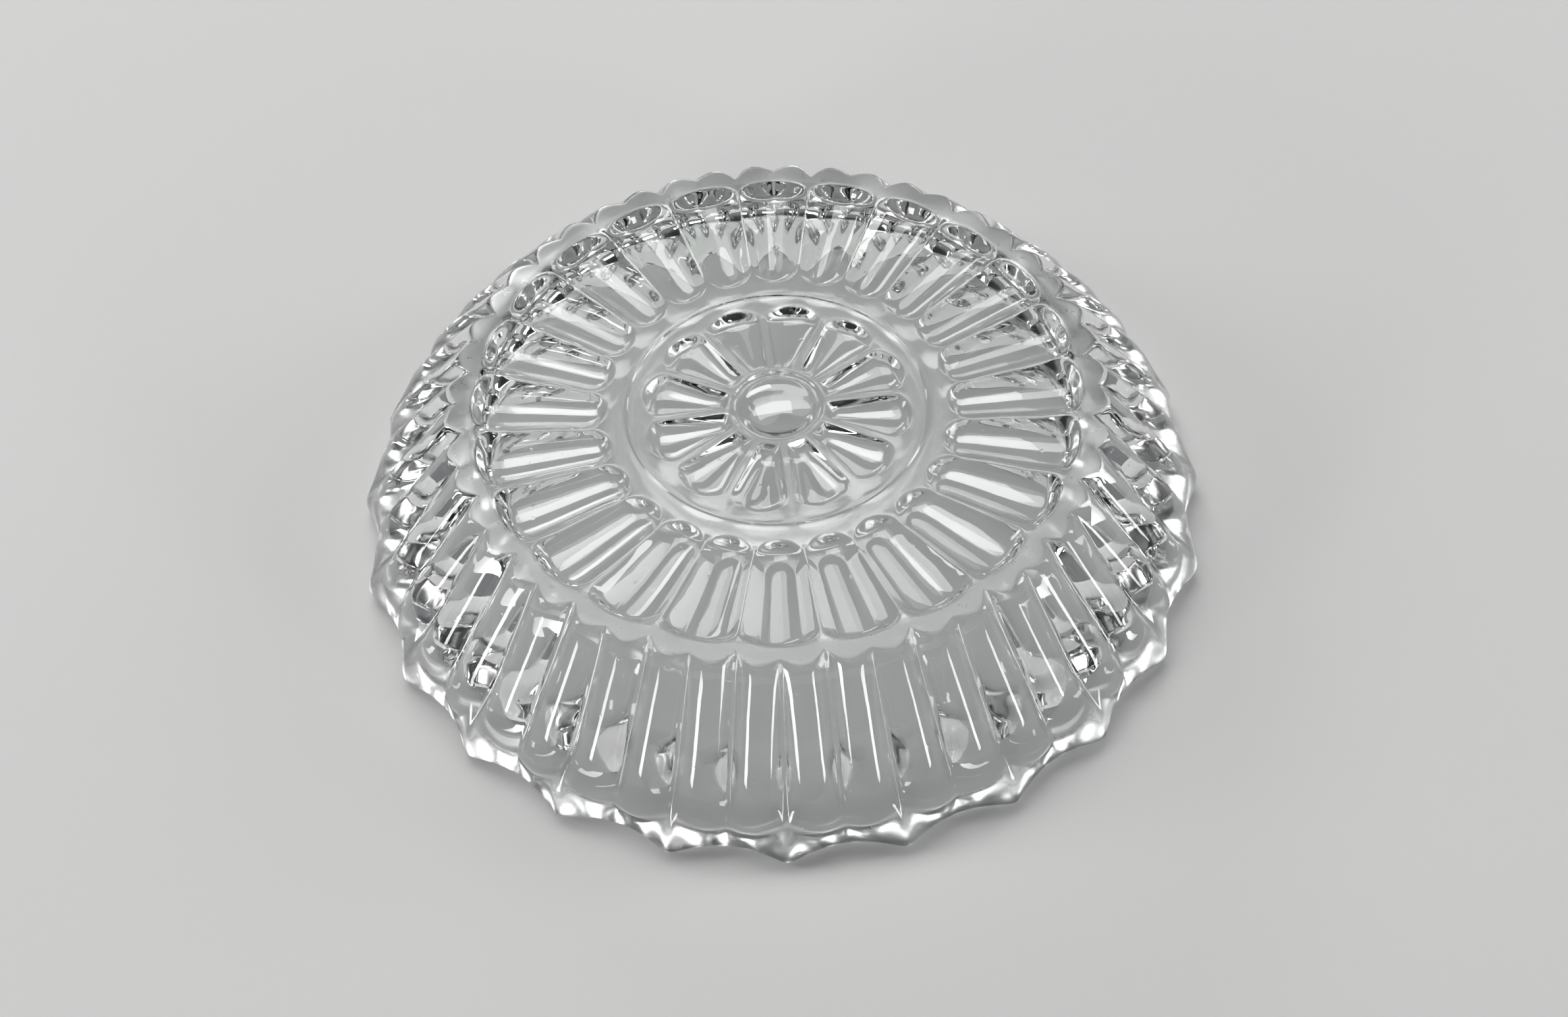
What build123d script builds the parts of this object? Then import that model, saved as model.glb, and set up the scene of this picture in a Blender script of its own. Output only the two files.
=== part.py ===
from build123d import *
from math import cos, radians, sin, sqrt, tan
import os

# A shallow pressed-glass dish, modelled standing rim down with its decorated base up.
# Millimetres, +Z up, origin on the table at the middle of the rim.

# scalloped rim
cusps = 24                  # points round the rim, one in line with every petal
cusp_radius = 80.0          # out to the points
scallop_radius = 77.0       # out to the middle of each scallop
rim_sections = [            # height and how far the edge lies inside the full scallops there
    (0.0, 0.8),
    (0.3, 0.3),
    (1.0, 0.0),
    (3.0, 0.05),
    (5.5, 0.6),
]

# ribbed outer wall: convex ribs with sharp grooves between them
ribs = 2 * cusps
hip_z = 10.0                # the ribs fade into the rim from here down
hip_bulge = 76.6
hip_groove_on_cusp = 74.8   # grooves in line with the cusps
hip_groove_between = 73.8   # and in line with the middles of the scallops
shoulder_z = 15.0           # steep below, a flatter cone above
shoulder_bulge = 74.2
shoulder_groove = 70.2
ring_z = 31.3               # flat foot ring, the highest face
ring_bulge = 60.5
ring_groove_on_cusp = 59.0
ring_groove_between = 57.4

# recessed middle
disc_z = 28.2
disc_radius = 34.0
plug_line_radius = 27.7     # fine raised circle left by the mould
plug_line_width = 0.9
plug_line_height = 0.3

# petal grooves round the middle
petals = cusps
petal_inner_r = 35.6        # centre of the ball end
petal_outer_r = 54.2
petal_inner_floor = 26.5
petal_outer_floor = 28.0
petal_inner_ball = 6.5
petal_outer_ball = 9.9
petal_end_r = 56.0          # outer tip of the petal at ring level
petal_end_curve = 14.0      # radius of the tip seen from above
petal_end_slope = 60.0      # of the end wall, degrees from level

# twelve-petal star
star_petals = 12
star_turn = 6.3             # degrees between a star rib and the nearest cusp
star_depth = 1.8
star_draft = 1.3            # how far the star walls lean in
star_tip_r = 25.2
star_corner_r = 22.8        # where the petal tips meet the ribs
star_root_half = 1.75       # half width of a petal at its inner end
star_rib_width = 1.5
button_radius = 6.8
button_height = 1.7
button_moat_width = 1.6
button_moat_depth = 0.7

# smooth cavity on the underside
mouth_radius = 67.4
mouth_rounding = 3.2
knee_radius = 63.6          # where the steep lower wall meets the flatter upper wall
knee_z = 14.0
ceiling_radius = 55.4       # where the upper wall meets the ceiling
ceiling_z = 22.6
cavity_rounding = 9.0

front = -90.0               # a cusp points to the front


def at(radius, angle, z=0.0):
    """Point at a radius and an angle in degrees."""
    return Vector(radius * cos(radians(angle)), radius * sin(radians(angle)), z)


def all_round(shape, count):
    """Copies of a shape spaced evenly about the axis."""
    return [shape.rotate(Axis.Z, i * 360.0 / count) for i in range(count)]


def scalloped_outline(inset, z):
    """Concave scallops between the points, each in two halves to suit the ribs."""
    pitch = 360.0 / cusps
    edges = []
    for i in range(cusps):
        angle = front + i * pitch
        scallop = ThreePointArc(
            at(cusp_radius - inset, angle, z),
            at(scallop_radius - inset, angle + pitch / 2, z),
            at(cusp_radius - inset, angle + pitch, z),
        )
        edges.append(ThreePointArc(scallop @ 0, scallop @ 0.25, scallop @ 0.5))
        edges.append(ThreePointArc(scallop @ 0.5, scallop @ 0.75, scallop @ 1))
    return make_face(Wire(edges))


def ribbed_outline(bulge, groove_on_cusp, groove_between, z):
    """Ring of outward arcs, one for each rib."""
    pitch = 360.0 / ribs
    edges = []
    for i in range(ribs):
        angle = front + i * pitch
        first, second = groove_on_cusp, groove_between
        if i % 2:
            first, second = second, first
        start = at(first, angle, z)
        middle = at(bulge, angle + pitch / 2, z)
        end = at(second, angle + pitch, z)
        edges.append(ThreePointArc(start, middle, end))
    return make_face(Wire(edges))


def outside():
    """Solid drum: scalloped rim, hip, shoulder and ribbed wall."""
    sections = [scalloped_outline(inset, z) for z, inset in rim_sections]
    sections.append(ribbed_outline(hip_bulge, hip_groove_on_cusp, hip_groove_between, hip_z))
    sections.append(ribbed_outline(shoulder_bulge, shoulder_groove, shoulder_groove, shoulder_z))
    sections.append(ribbed_outline(ring_bulge, ring_groove_on_cusp, ring_groove_between, ring_z))
    return loft(sections, ruled=True)


def cavity():
    """Smooth hollow with a two-slope wall and a rounded mouth."""
    with BuildPart() as hollow:
        with BuildSketch(Plane.XZ) as half:
            with BuildLine():
                Polyline(
                    (0, 0),
                    (mouth_radius, 0),
                    (knee_radius, knee_z),
                    (ceiling_radius, ceiling_z),
                    (0, ceiling_z),
                    close=True,
                )
            make_face()
            corners = [v for v in half.vertices() if v.X > 1 and v.Y > 1]
            fillet(corners, cavity_rounding)
        revolve(axis=Axis.Z)

    lean = (mouth_radius - knee_radius) / knee_z
    blend_z = mouth_rounding * 0.9
    land_radius = mouth_radius + mouth_rounding
    middle_radius = mouth_radius - 10.0
    wall_point = (mouth_radius - lean * blend_z, blend_z)
    round_point = (mouth_radius + mouth_rounding * 0.17, mouth_rounding * 0.24)
    with BuildPart() as mouth:
        with BuildSketch(Plane.XZ):
            with BuildLine():
                Polyline(
                    (land_radius, 0),
                    (land_radius, -1),
                    (middle_radius, -1),
                    (middle_radius, blend_z),
                    wall_point,
                )
                ThreePointArc(wall_point, round_point, (land_radius, 0))
            make_face()
        revolve(axis=Axis.Z)
    return hollow.part + mouth.part


def petal_cutter():
    """Ball-nosed groove that widens outwards and stops at a steep curved wall."""
    inner_z = petal_inner_floor + petal_inner_ball
    outer_z = petal_outer_floor + petal_outer_ball
    run = petal_outer_r - petal_inner_r
    rise = outer_z - inner_z
    length = sqrt(run ** 2 + rise ** 2)
    growth = (petal_outer_ball - petal_inner_ball) / length
    reach = length * 1.5
    lie = Plane(
        origin=(petal_inner_r, 0, inner_z),
        x_dir=(0, 1, 0),
        z_dir=(run, 0, rise),
    )
    groove = lie * Cone(
        petal_inner_ball,
        petal_inner_ball + growth * reach,
        reach,
        align=(Align.CENTER, Align.CENTER, Align.MIN),
    )
    nose = Pos(petal_inner_r, 0, inner_z) * Sphere(petal_inner_ball)
    drop = 8.0
    lift = 16.0
    slope = 1.0 / tan(radians(petal_end_slope))
    limit = Pos(petal_end_r - petal_end_curve, 0, ring_z - drop) * Cone(
        petal_end_curve - drop * slope,
        petal_end_curve + lift * slope,
        drop + lift,
        align=(Align.CENTER, Align.CENTER, Align.MIN),
    )
    return ((groove + nose) & limit).rotate(Axis.Z, front)


def star_outline(inset, z):
    """Outline of one star petal, pointing along +X, with sides that follow the ribs."""
    half = radians(180.0 / star_petals)
    away = star_rib_width / 2 + inset
    root_half = star_root_half - inset * 0.8
    along_root = (root_half + away * cos(half)) / sin(half)
    along_corner = star_corner_r - inset
    corner_x = along_corner * cos(half) + away * sin(half)
    corner_y = along_corner * sin(half) - away * cos(half)
    root_x = along_root * cos(half) + away * sin(half)
    edges = [
        Line((root_x, -root_half, z), (corner_x, -corner_y, z)),
        ThreePointArc((corner_x, -corner_y, z), (star_tip_r - inset, 0, z), (corner_x, corner_y, z)),
        Line((corner_x, corner_y, z), (root_x, root_half, z)),
        ThreePointArc((root_x, root_half, z), (root_x - root_half / 3, 0, z), (root_x, -root_half, z)),
    ]
    return make_face(Wire(edges))


def star_cutter():
    """One petal of the star, with leaning walls."""
    top = star_outline(0.0, disc_z + 0.01)
    floor = star_outline(star_draft, disc_z - star_depth)
    cutter = loft([floor, top], ruled=True)
    return cutter.rotate(Axis.Z, front + star_turn + 180.0 / star_petals)


def button():
    """Low dome in the middle of the star, standing in a shallow moat."""
    sphere = (button_radius ** 2 + button_height ** 2) / (2 * button_height)
    centre_z = disc_z + button_height - sphere
    cap = Pos(0, 0, centre_z) * Sphere(sphere)
    below = Pos(0, 0, disc_z - 1) * Cylinder(
        button_radius, button_height + 2, align=(Align.CENTER, Align.CENTER, Align.MIN)
    )
    return cap & below


def button_moat():
    """Shallow ring cut round the button."""
    middle = button_radius + button_moat_width / 2
    section = (button_moat_width ** 2 / 4 + button_moat_depth ** 2) / (2 * button_moat_depth)
    return Pos(0, 0, disc_z - button_moat_depth + section) * Torus(middle, section)


def plug_line():
    """Fine raised circle round the star."""
    section = (plug_line_width ** 2 / 4 + plug_line_height ** 2) / (2 * plug_line_height)
    return Pos(0, 0, disc_z + plug_line_height - section) * Torus(plug_line_radius, section)


def glass_dish():
    """The whole moulding as one solid."""
    body = outside()
    recess = Pos(0, 0, disc_z) * Cylinder(disc_radius, 10, align=(Align.CENTER, Align.CENTER, Align.MIN))
    body = body - recess
    body = body - all_round(petal_cutter(), petals)
    body = body - all_round(star_cutter(), star_petals)
    body = body - button_moat()
    body = body + button() + plug_line()
    return body - cavity()


pieces = {
    "glass_dish": glass_dish(),
}

os.makedirs("parts", exist_ok=True)
for name, shape in pieces.items():
    solid = shape.solids()[0]
    assert len(shape.solids()) == 1, name
    solid.label = name
    export_step(solid, "parts/" + name + ".step")
    print(name, solid.bounding_box().size, "volume", round(solid.volume))
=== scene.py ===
import math

import bpy
import bmesh
from mathutils import Matrix, Vector


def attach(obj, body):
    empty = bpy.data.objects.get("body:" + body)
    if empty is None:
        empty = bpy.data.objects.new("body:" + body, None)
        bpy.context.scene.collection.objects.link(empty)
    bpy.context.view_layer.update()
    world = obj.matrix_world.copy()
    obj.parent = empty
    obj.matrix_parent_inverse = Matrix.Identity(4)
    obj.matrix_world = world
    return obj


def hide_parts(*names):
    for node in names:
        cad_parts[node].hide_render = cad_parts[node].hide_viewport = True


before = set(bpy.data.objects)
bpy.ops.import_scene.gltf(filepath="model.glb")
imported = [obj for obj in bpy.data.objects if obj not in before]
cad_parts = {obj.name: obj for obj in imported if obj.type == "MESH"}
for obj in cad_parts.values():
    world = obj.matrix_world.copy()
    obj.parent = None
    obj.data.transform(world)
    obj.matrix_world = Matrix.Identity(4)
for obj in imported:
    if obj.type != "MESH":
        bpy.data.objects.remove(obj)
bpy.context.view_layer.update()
scene = bpy.context.scene
mm = 0.001


class Term:
    # wraps a socket so that node maths reads as ordinary Python
    def __init__(self, bench, socket):
        self.bench = bench
        self.socket = socket

    def calc(self, operation, *others, flip=False):
        values = [*others, self] if flip else [self, *others]
        return self.bench.add("ShaderNodeMath", {"operation": operation}, dict(enumerate(values)))

    def __add__(self, other): return self.calc("ADD", other)
    def __radd__(self, other): return self.calc("ADD", other, flip=True)
    def __sub__(self, other): return self.calc("SUBTRACT", other)
    def __rsub__(self, other): return self.calc("SUBTRACT", other, flip=True)
    def __mul__(self, other): return self.calc("MULTIPLY", other)
    def __rmul__(self, other): return self.calc("MULTIPLY", other, flip=True)
    def __truediv__(self, other): return self.calc("DIVIDE", other)
    def __rtruediv__(self, other): return self.calc("DIVIDE", other, flip=True)
    def __pow__(self, other): return self.calc("POWER", other)
    def __abs__(self): return self.calc("ABSOLUTE")

    def low(self, other): return self.calc("MINIMUM", other)
    def high(self, other): return self.calc("MAXIMUM", other)
    def sin(self): return self.calc("SINE")
    def cos(self): return self.calc("COSINE")
    def root(self): return self.calc("SQRT")
    def nearest(self): return self.calc("ROUND")
    def part(self): return self.calc("FRACT")

    def between(self, start, end):
        # 0 at start, 1 at end, smooth in the middle
        return self.bench.add("ShaderNodeMapRange", {"interpolation_type": "SMOOTHSTEP"},
                              {"Value": self, "From Min": start, "From Max": end})


class Bench:
    # adds nodes to one tree
    def __init__(self, tree):
        self.tree = tree

    def add(self, kind, settings=None, inputs=None, out=0):
        node = self.tree.nodes.new(kind)
        for name, value in (settings or {}).items():
            setattr(node, name, value)
        for name, value in (inputs or {}).items():
            if isinstance(value, Term):
                self.tree.links.new(value.socket, node.inputs[name])
            else:
                node.inputs[name].default_value = value
        return Term(self, node.outputs[out]) if len(node.outputs) else node

    def other(self, term, out):
        # another output of the node that a term came from
        return Term(self, term.socket.node.outputs[out])


dish = {
    "stepsAround": 768,
    "petals": 24,              # petal grooves, rim points and pairs of ribs
    "starPetals": 12,
    "starTurn": 6.3,           # degrees from a rim point to the nearest star rib
    "starRibWidth": 0.62,      # mm, half width of a star rib
    "starWall": 0.3,           # share of the depth taken by the steep side of a star rib
    "starTipPull": 2.6,        # mm, how far the star tips are rounded back at the ribs
    "petalInPull": 2.8,        # mm, the same at the inner ends of the petals
    "petalOutPull": 1.9,       # mm, and at the outer ends
    "ribRoundness": 0.85,      # 0 is shallow, 1 a half circle
    "cuspReach": 3.5,          # mm, rim points beyond the scallops
    "cuspRounding": 0.09,      # how blunt they are, 0 is sharp
    "unevenness": 0.10,        # mm, slow waves in the fire-polished surface
    "unevenSize": 14.0,        # mm
    "seed": 3.7,
}


class Profile:
    # one section of the glass, from the middle of the base out over the rim to the cavity
    shares = ["starTip", "starCup", "petalIn", "petalOut", "petalCup", "rib", "ribUneven", "cusp"]

    def __init__(self):
        self.rows = []

    def row(self, r, z, **shares):
        self.rows.append((r, z, shares))

    def mesh(self, name):
        mesh = bpy.data.meshes.new(name)
        points = [(r * mm, 0, z * mm) for r, z, _ in self.rows]
        mesh.from_pydata(points, [(i, i + 1) for i in range(len(points) - 1)], [])
        columns = {"rowRadius": [r for r, _, _ in self.rows], "rowHeight": [z for _, z, _ in self.rows]}
        for share in self.shares:
            columns[share] = [shares.get(share, 0.0) for _, _, shares in self.rows]
        for title, values in columns.items():
            mesh.attributes.new(title, "FLOAT", "POINT").data.foreach_set("value", values)
        return mesh


section = {                    # mm
    "disc": 28.2,              # level of the flat middle
    "ring": 31.3,              # level of the foot ring
    "buttonRadius": 6.8,
    "buttonHeight": 1.7,
    "coneTop": 60.5,           # radius of the ribbed cone at the foot ring
    "coneSpread": 0.8405,      # growth of its radius for each mm down
    "shoulder": 15.0,
    "cavityMouth": 67.4,
    "cavityLean": 0.2714,      # loss of the cavity's radius for each mm up
    "cavityCorner": 9.0,
    "cavityCornerAt": (51.54, 13.6),
    "ceiling": 22.6,
}


def glassProfile():
    p = Profile()
    disc, ring = section["disc"], section["ring"]
    # domed button in its moat
    reach, rise = section["buttonRadius"], section["buttonHeight"]
    ball = (reach ** 2 + rise ** 2) / (2 * rise)
    for r in (0, 1.0, 2.0, 3.0, 4.0, 5.0, 5.8, 6.4):
        p.row(r, disc + rise - ball + math.sqrt(ball ** 2 - r ** 2))
    for r, z in ((6.75, 28.12), (7.05, 27.75), (7.45, 27.5), (7.9, 27.52), (8.3, 27.85), (8.65, 28.14)):
        p.row(r, z)
    # star petals: root walls, floor, tip walls
    for r, cup in ((8.9, 0), (9.15, 0.1), (9.4, 0.4), (9.8, 0.9), (10.4, 1.4), (11.3, 1.7)):
        p.row(r, disc, starCup=cup)
    for r in (12.8, 14.4, 16.0, 17.8, 19.6):
        p.row(r, disc, starCup=1.8)
    for r, tip, cup in ((21.2, 0.5, 1.8), (22.4, 0.9, 1.75), (23.2, 1, 1.55), (23.8, 1, 1.15), (24.3, 1, 0.7),
                        (24.7, 1, 0.32), (25.0, 1, 0.08), (25.25, 1, 0), (25.8, 0.7, 0), (26.5, 0.3, 0)):
        p.row(r, disc, starTip=tip, starCup=cup)
    # fine raised circle
    for r, z in ((27.25, 0), (27.42, 0.1), (27.55, 0.25), (27.7, 0.3), (27.85, 0.25), (27.98, 0.1), (28.15, 0)):
        p.row(r, disc + z)
    p.row(29.3, disc)
    # petal grooves: inner ends, floor, steep outer ends
    crest = lambda r: disc + max(0.0, r - 33.6) * 2.95 / 20.6
    for r, pull, cup in ((30.4, 0.8, 0), (30.9, 1, 0), (31.2, 1, 0.05), (31.5, 1, 0.25), (31.9, 1, 0.7),
                         (32.3, 1, 1.15), (32.8, 1, 1.55), (33.5, 0.95, 1.8), (34.6, 0.8, 1.95),
                         (36.0, 0.55, 2.05), (38.0, 0.3, 2.15), (41.0, 0.1, 2.3)):
        p.row(r, crest(r), petalIn=pull, petalCup=cup)
    for r, cup in ((44.5, 2.5), (48.0, 2.75)):
        p.row(r, crest(r), petalCup=cup)
    for r, pull, cup in ((51.2, 0.5, 2.95), (52.8, 0.9, 3.0), (53.7, 1, 2.9), (54.15, 1, 2.5), (54.6, 1, 1.85),
                         (55.0, 1, 1.15), (55.4, 1, 0.5), (55.7, 1, 0.15), (56.0, 1, 0)):
        p.row(r, ring if r > 55.6 else min(ring, crest(r) + 0.1), petalOut=pull, petalCup=cup)
    # foot ring and its rounded outer edge
    p.row(56.45, ring, petalOut=0.7, rib=0.1, ribUneven=0.35)
    for r, z, rib in ((57.2, 0, 0.5), (58.2, 0, 1.1), (59.2, 0, 1.7), (59.85, 0.06, 2.1), (60.4, 0.25, 2.3),
                      (60.88, 0.62, 2.35), (61.38, 1.15, 2.4)):
        p.row(r, ring - z, rib=rib, ribUneven=0.35)
    # ribbed cone down to the shoulder
    for z, rib in ((28.9, 2.75), (27.0, 3.1), (24.6, 3.45), (22.0, 3.75), (19.2, 3.95)):
        fade = (z - section["shoulder"]) / (ring - section["shoulder"])
        p.row(section["coneTop"] + section["coneSpread"] * (ring - z), z, rib=rib, ribUneven=0.35 * fade)
    # round the shoulder, and the ribs fade into the scalloped rim
    for r, z, rib, cusp in ((72.95, 16.4, 4.0, 0), (74.0, 15.0, 4.0, 0), (74.85, 13.6, 3.8, 0.05),
                            (75.5, 12.3, 3.4, 0.13), (76.0, 11.0, 2.8, 0.22), (76.4, 9.8, 2.2, 0.34),
                            (76.75, 8.4, 1.6, 0.5), (76.95, 7.0, 1.05, 0.68), (77.05, 5.7, 0.6, 0.83),
                            (77.07, 4.5, 0.28, 0.93), (77.05, 3.4, 0.1, 0.99), (77.0, 2.4, 0, 1),
                            (77.0, 1.5, 0, 1),
                            (76.9, 0.85, 0, 1), (76.65, 0.38, 0, 1), (76.25, 0.1, 0, 0.96), (75.7, 0, 0, 0.85)):
        p.row(r, z, rib=rib, cusp=cusp)
    # land that the rim stands on, and the rounded mouth of the cavity
    p.row(74.0, 0, cusp=0.35)
    p.row(71.3, 0, cusp=0.05)
    for r, z in ((70.2, 0.05), (69.4, 0.28), (68.6, 0.72), (67.85, 1.35), (67.2, 2.15), (66.7, 3.1)):
        p.row(r, z)
    # two-slope wall of the cavity and its ceiling
    for z in (5.5, 8.5, 11.8):
        p.row(section["cavityMouth"] - section["cavityLean"] * z, z)
    for r, z in ((63.35, 13.85), (62.03, 15.65)):
        p.row(r, z)
    cornerR, cornerZ = section["cavityCornerAt"]
    corner = section["cavityCorner"]
    for angle in (43.6, 55, 67, 78, 90):
        turn = math.radians(angle)
        p.row(cornerR + corner * math.cos(turn), cornerZ + corner * math.sin(turn))
    for r in (44, 35, 26, 17, 8, 0):
        p.row(r, section["ceiling"])
    return p


def makeGlassTree():
    tree = bpy.data.node_groups.new("turnAndPressGlass", "GeometryNodeTree")
    sockets = {}

    def setting(title, kind, value=None):
        socket = tree.interface.new_socket(title, in_out="INPUT", socket_type=kind)
        if value is not None:
            socket.default_value = value
        sockets[title] = socket.identifier

    setting("Profile", "NodeSocketGeometry")
    setting("stepsAround", "NodeSocketInt", 96)
    for title in dish:
        if title != "stepsAround":
            setting(title, "NodeSocketFloat", 1.0)
    setting("Glass", "NodeSocketMaterial")
    tree.interface.new_socket("Geometry", in_out="OUTPUT", socket_type="NodeSocketGeometry")

    b = Bench(tree)
    entry = b.add("NodeGroupInput")
    value = {title: b.other(entry, title) for title in sockets}

    # sweep the section round a circle, keeping each point's share of the whole turn
    circle = b.add("GeometryNodeCurvePrimitiveCircle", None,
                   {"Resolution": value["stepsAround"], "Radius": 0.05})
    steps = b.add("GeometryNodeInputIndex") / value["stepsAround"]
    circle = b.add("GeometryNodeStoreNamedAttribute", {"data_type": "FLOAT", "domain": "POINT"},
                   {"Geometry": circle, "Name": "turnShare", "Value": steps})
    section = b.add("GeometryNodeMeshToCurve", None, {"Mesh": value["Profile"]})
    skin = b.add("GeometryNodeCurveToMesh", None, {"Curve": circle, "Profile Curve": section})

    named = lambda title: b.add("GeometryNodeInputNamedAttribute", {"data_type": "FLOAT"}, {"Name": title})
    share = named("turnShare")
    radius, height = named("rowRadius"), named("rowHeight")

    # where round the dish: 0 on a petal's middle line, 1 on the ridge between two petals
    place = share * value["petals"]
    petal = abs(place - place.nearest()) * 2.0
    rib = abs((place * 2.0).part() - 0.5) * 2.0
    starPlace = (share - value["starTurn"] / 360.0) * value["starPetals"]
    star = abs(starPlace - starPlace.nearest()) * 2.0

    # radial pulls
    starTip = (1.0 - star) ** 2.0 * value["starTipPull"]
    petalIn = (1.0 - (1.0 - petal * petal * 0.93).root()) * (value["petalInPull"] / 0.735)
    petalOut = (1.0 - (1.0 - petal * petal * 0.93).root()) * (value["petalOutPull"] / 0.735)
    alternate = 1.0 - (place * (2 * math.pi)).cos() * named("ribUneven")
    softRib = rib ** 1.8
    roundRib = 1.0 - (1.0 - rib * rib * value["ribRoundness"]).root()
    roundRib = roundRib / (1.0 - (1.0 - value["ribRoundness"]).root())
    down = height.between(31.0, 25.0)      # soft waves at the foot ring turn into round ribs
    ribDip = (softRib + (roundRib - softRib) * down) * alternate
    rounded = (petal * petal + value["cuspRounding"] * value["cuspRounding"]).root()
    cusp = (1.0 - rounded).high(0.0) ** 2.0 * value["cuspReach"]
    r = radius - named("starTip") * starTip + named("petalIn") * petalIn - named("petalOut") * petalOut
    r = r - named("rib") * ribDip + named("cusp") * cusp

    # hollows
    halfPetal = radius * math.pi / value["starPetals"]
    fromRib = star * halfPetal
    across = ((fromRib - value["starRibWidth"]) / (halfPetal - value["starRibWidth"])).high(0.0)
    wall = 1.0 - 1.0 / (1.0 + (fromRib / (value["starRibWidth"] * 1.5)) ** 4.0)
    starCup = wall * value["starWall"] + across * (2.0 - across) * (1.0 - value["starWall"])
    z = height - named("starCup") * starCup - named("petalCup") * (1.0 - petal * petal)

    angle = share * (2 * math.pi) - math.pi / 2
    spot = b.add("ShaderNodeCombineXYZ", None,
                 {"X": r * angle.cos() * mm, "Y": r * angle.sin() * mm, "Z": z * mm})
    skin = b.add("GeometryNodeSetPosition", None, {"Geometry": skin, "Position": spot})
    skin = b.add("GeometryNodeMergeByDistance", None, {"Geometry": skin, "Distance": 0.000001})

    # slow waves, fading out on the land that the dish stands on
    where = b.add("GeometryNodeInputPosition")
    waves = b.add("ShaderNodeTexNoise", {"noise_dimensions": "4D"},
                  {"Vector": where, "W": value["seed"], "Scale": 1000.0 / value["unevenSize"], "Detail": 2.0})
    level = b.other(b.add("ShaderNodeSeparateXYZ", None, {"Vector": where}), "Z")
    swell = (waves - 0.5) * value["unevenness"] * level.between(0.0005, 0.004) * mm
    normal = b.add("GeometryNodeInputNormal")
    push = b.add("ShaderNodeVectorMath", {"operation": "SCALE"}, {"Vector": normal, "Scale": swell})
    skin = b.add("GeometryNodeSetPosition", None, {"Geometry": skin, "Offset": push})

    skin = b.add("GeometryNodeSetShadeSmooth", None, {"Geometry": skin})
    skin = b.add("GeometryNodeRealizeInstances", None, {"Geometry": skin})
    skin = b.add("GeometryNodeSetMaterial", None, {"Geometry": skin, "Material": value["Glass"]})
    b.add("NodeGroupOutput", None, {"Geometry": skin})
    return tree, sockets


def plainMesh(obj, name):
    # the modifier's result as a mesh of its own
    graph = bpy.context.evaluated_depsgraph_get()
    mesh = bpy.data.meshes.new_from_object(obj.evaluated_get(graph), depsgraph=graph)
    mesh.name = name
    obj.modifiers.clear()
    obj.data = mesh
    return mesh


def faceOutwards(mesh):
    work = bmesh.new()
    work.from_mesh(mesh)
    if work.calc_volume(signed=True) < 0:
        bmesh.ops.reverse_faces(work, faces=work.faces)
    openEdges = sum(1 for edge in work.edges if not edge.is_manifold)
    volume = work.calc_volume(signed=True)
    work.to_mesh(mesh)
    work.free()
    return openEdges, volume


finish = {
    "tint": (0.984, 0.993, 0.988),
    "tintDeep": (0.958, 0.98, 0.968),
    "refraction": 1.52,
    "polish": 0.008,           # roughness of the fire-polished glass
    "smears": 0.03,            # added where it has been handled
    "flatHaze": 0.22,          # added on the level faces of the base
    "wornRing": 0.30,          # added on the foot ring, which slides on tables
    "cloudScale": 38.0,
    "scuffScale": 420.0,
    "smearScale": 60.0,
    "rippleScale": 130.0,
    "pitScale": 190.0,
    "dustScale": 340.0,
    "dustSize": 0.055,         # share of a 3 mm cell
    "dustColour": (0.75, 0.74, 0.72, 1),
    "ripple": 0.10,
}


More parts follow.
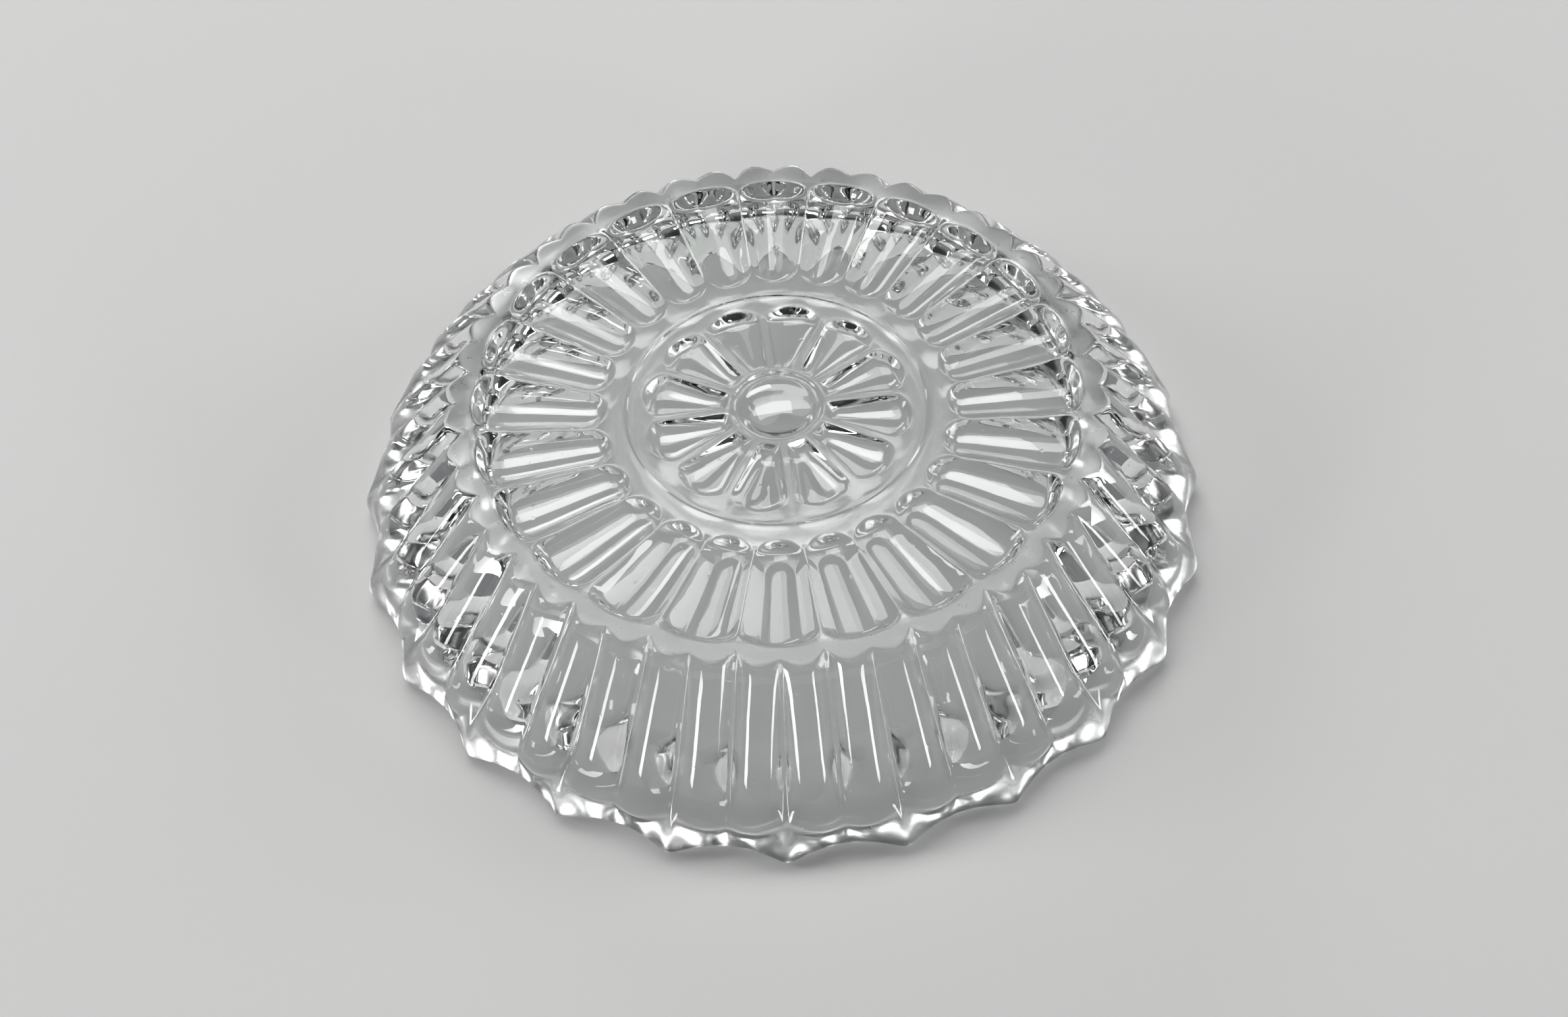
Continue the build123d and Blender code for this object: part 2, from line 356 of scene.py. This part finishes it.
def makeGlass():
    material = bpy.data.materials.new("clearPressedGlass")
    material.use_nodes = True
    tree = material.node_tree
    tree.nodes.clear()
    b = Bench(tree)
    spot = b.other(b.add("ShaderNodeTexCoord"), "Object")
    axes = b.add("ShaderNodeSeparateXYZ", None, {"Vector": spot})
    x, y, z = (b.other(axes, name) for name in "XYZ")
    radius = (x * x + y * y).root()

    # a faint tint, stronger in slow clouds, as in cheap soda glass
    cloud = b.add("ShaderNodeTexNoise", None, {"Vector": spot, "Scale": finish["cloudScale"], "Detail": 3.0})
    tint = b.add("ShaderNodeMix", {"data_type": "RGBA"},
                 {"Factor": cloud.between(0.35, 0.7), 6: (*finish["tint"], 1), 7: (*finish["tintDeep"], 1)},
                 out=2)

    # wear: foot ring, level faces of the base, finger smears, and the rim where it stands (heights in metres)
    ring = z.between(0.03100, 0.03122) * radius.between(0.0545, 0.0558)
    level = z.between(0.02795, 0.0281) * z.between(0.0284, 0.02825) * radius.between(0.0335, 0.031)
    stand = z.between(0.0012, 0.0)
    scuff = b.add("ShaderNodeTexNoise", None,
                  {"Vector": spot, "Scale": finish["scuffScale"], "Detail": 4.0, "Roughness": 0.7})
    smear = b.add("ShaderNodeTexNoise", None, {"Vector": spot, "Scale": finish["smearScale"], "Detail": 4.0})
    worn = (ring + stand * 0.6).low(1.0)
    rough = finish["polish"] + smear.between(0.45, 0.8) * finish["smears"] + level * finish["flatHaze"]
    rough = rough + worn * (0.55 + scuff * 0.9) * finish["wornRing"]

    # slow ripples of pressed glass, small pits, and grit in the worn places
    ripple = b.add("ShaderNodeTexNoise", None, {"Vector": spot, "Scale": finish["rippleScale"], "Detail": 2.0})
    pits = b.add("ShaderNodeTexVoronoi", None, {"Vector": spot, "Scale": finish["pitScale"]})
    pit = pits.between(0.09, 0.03)
    bump = b.add("ShaderNodeBump", None, {"Strength": finish["ripple"], "Distance": 0.0004, "Height": ripple})
    bump = b.add("ShaderNodeBump", None, {"Strength": 0.3, "Distance": 0.0001, "Height": pit, "Normal": bump})
    bump = b.add("ShaderNodeBump", None,
                 {"Strength": 0.25, "Distance": 0.00003, "Height": scuff * worn, "Normal": bump})
    glass = b.add("ShaderNodeBsdfPrincipled", None, {
        "Base Color": tint, "Roughness": rough, "IOR": finish["refraction"],
        "Transmission Weight": 1.0, "Normal": bump})

    # dust: about one cell in three has a speck
    cells = b.add("ShaderNodeTexVoronoi", None, {"Vector": spot, "Scale": finish["dustScale"]})
    lot = b.add("ShaderNodeSeparateColor", None, {"Color": b.other(cells, "Color")})
    speck = cells.between(finish["dustSize"], finish["dustSize"] * 0.6) * lot.between(0.64, 0.66)
    dust = b.add("ShaderNodeBsdfPrincipled", None, {"Base Color": finish["dustColour"], "Roughness": 0.9})
    surface = b.add("ShaderNodeMixShader", None, {"Fac": speck * 0.8, 1: glass, 2: dust})
    b.add("ShaderNodeOutputMaterial", None, {"Surface": surface})
    print("material", material.name)
    return material


def makeDish():
    glass = bpy.data.objects.new("glassDish", glassProfile().mesh("dishProfile"))
    scene.collection.objects.link(glass)
    tree, sockets = makeGlassTree()
    turned = glass.modifiers.new("pressed", "NODES")
    turned.node_group = tree
    for title, value in dish.items():
        turned[sockets[title]] = value if title == "stepsAround" else float(value)
    turned[sockets["Glass"]] = makeGlass()
    mesh = plainMesh(glass, "glassDish")
    openEdges, volume = faceOutwards(mesh)
    print("dish", len(mesh.vertices), "points", sum(len(f.vertices) - 2 for f in mesh.polygons), "triangles",
          openEdges, "open edges", round(volume * 1e6, 1), "cm3")
    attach(glass, "root")
    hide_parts("glass_dish")


studio = {
    "floorColour": (0.6, 0.6, 0.595, 1),
    "wallColour": (0.21, 0.215, 0.22, 1),       # of the room, near the horizon
    "ceilingColour": (0.03, 0.03, 0.032, 1),
    "exposure": -0.2,
    "skyStrength": 0.7,
    "skyAngle": 40,            # degrees across
    "floorGap": 0.0003,        # m of air under the rim, as on any real table
}


lamps = {                      # place in m, size in m, watts, spread in degrees
    "softBox": ((-0.12, 0.58, 1.35), (1.2, 0.6), 13, 180),
    "window": ((-0.35, 1.0, 0.42), (0.5, 0.2), 2.2, 180),
    "leftBox": ((-0.9, 0.05, 0.5), (0.16, 0.5), 3, 180),
    "rightBox": ((0.85, 0.2, 0.45), (0.12, 0.5), 2.3, 180),
    "leftStrip": ((-0.75, -0.75, 0.22), (0.2, 0.34), 0.32, 50),
    "rightStrip": ((0.8, -0.7, 0.22), (0.16, 0.34), 0.24, 50),
}


def makeFloor():
    mesh = bpy.data.meshes.new("floor")
    side, level = 3.0, -studio["floorGap"]
    corners = [(-side, -side, level), (side, -side, level), (side, side, level), (-side, side, level)]
    mesh.from_pydata(corners, [], [(0, 1, 2, 3)])
    floor = bpy.data.objects.new("floor", mesh)
    scene.collection.objects.link(floor)
    material = bpy.data.materials.new("paleFloor")
    material.use_nodes = True
    b = Bench(material.node_tree)
    material.node_tree.nodes.clear()
    spot = b.other(b.add("ShaderNodeTexCoord"), "Object")
    grain = b.add("ShaderNodeTexNoise", None, {"Vector": spot, "Scale": 900.0, "Detail": 2.0})
    bump = b.add("ShaderNodeBump", None, {"Strength": 0.05, "Distance": 0.0002, "Height": grain})
    paint = b.add("ShaderNodeBsdfPrincipled", None,
                  {"Base Color": studio["floorColour"], "Roughness": 0.9, "Specular IOR Level": 0.2,
                   "Normal": bump})
    b.add("ShaderNodeOutputMaterial", None, {"Surface": paint})
    mesh.materials.append(material)
    print("floor laid")


def addLight(name, place, size, power, spread):
    # every lamp faces the dish; a narrow spread keeps its light off the floor beside it
    data = bpy.data.lights.new(name, "AREA")
    data.shape = "RECTANGLE"
    data.size, data.size_y = size
    data.energy = power
    data.spread = math.radians(spread)
    lamp = bpy.data.objects.new(name, data)
    lamp.location = place
    lamp.rotation_euler = (Vector((0, 0, 0.02)) - Vector(place)).to_track_quat("-Z", "Y").to_euler()
    scene.collection.objects.link(lamp)


def addSky(name, place, strength, angle):
    # even light over the whole floor
    data = bpy.data.lights.new(name, "SUN")
    data.energy = strength
    data.angle = math.radians(angle)
    lamp = bpy.data.objects.new(name, data)
    lamp.rotation_euler = (-Vector(place)).to_track_quat("-Z", "Y").to_euler()
    scene.collection.objects.link(lamp)


def makeLights():
    world = bpy.data.worlds.new("softRoom")
    scene.world = world
    world.use_nodes = True
    world.node_tree.nodes.clear()
    b = Bench(world.node_tree)
    heading = b.other(b.add("ShaderNodeTexCoord"), "Generated")
    climb = b.other(b.add("ShaderNodeSeparateXYZ", None, {"Vector": heading}), "Z")
    wall = b.add("ShaderNodeMix", {"data_type": "RGBA"},
                 {"Factor": climb.between(0.25, 0.6), 6: studio["wallColour"], 7: studio["ceilingColour"]},
                 out=2)
    backdrop = b.add("ShaderNodeBackground", None, {"Color": wall, "Strength": 1.0})
    b.add("ShaderNodeOutputWorld", None, {"Surface": backdrop})
    addSky("skylight", (-0.3, 0.35, 1.0), studio["skyStrength"], studio["skyAngle"])
    for name, (place, size, power, spread) in lamps.items():
        addLight(name, place, size, power, spread)
    scene.view_settings.view_transform = "Standard"
    scene.view_settings.exposure = studio["exposure"]


shot = {
    "lens": 51.2,
    "distance": 0.3994,
    "elevation": 51.82,
    "azimuth": 1.2,
    "roll": -2.57,
    "target": (0.00044, -0.02096, 0.024),
}


def makeCamera():
    data = bpy.data.cameras.new("camera")
    data.lens = shot["lens"]
    data.sensor_width = 36
    data.clip_start = 0.01
    camera = bpy.data.objects.new("camera", data)
    turn = math.radians(shot["azimuth"])
    tilt = math.radians(shot["elevation"])
    back = Vector((math.sin(turn) * math.cos(tilt), -math.cos(turn) * math.cos(tilt), math.sin(tilt)))
    right = Vector((math.cos(turn), math.sin(turn), 0))
    up = right.cross(-back)
    lean = math.radians(shot["roll"])
    leanRight = right * math.cos(lean) + up * math.sin(lean)
    leanUp = up * math.cos(lean) - right * math.sin(lean)
    target = Matrix.Rotation(turn, 3, "Z") @ Vector(shot["target"])
    pose = Matrix((leanRight, leanUp, back)).transposed().to_4x4()
    pose.translation = target + back * shot["distance"]
    camera.matrix_world = pose
    scene.collection.objects.link(camera)
    scene.camera = camera
    print("camera set")


makeCamera()
makeDish()
makeFloor()
makeLights()
scene.cycles.max_bounces = 24
scene.cycles.transmission_bounces = 20
print("scene made")
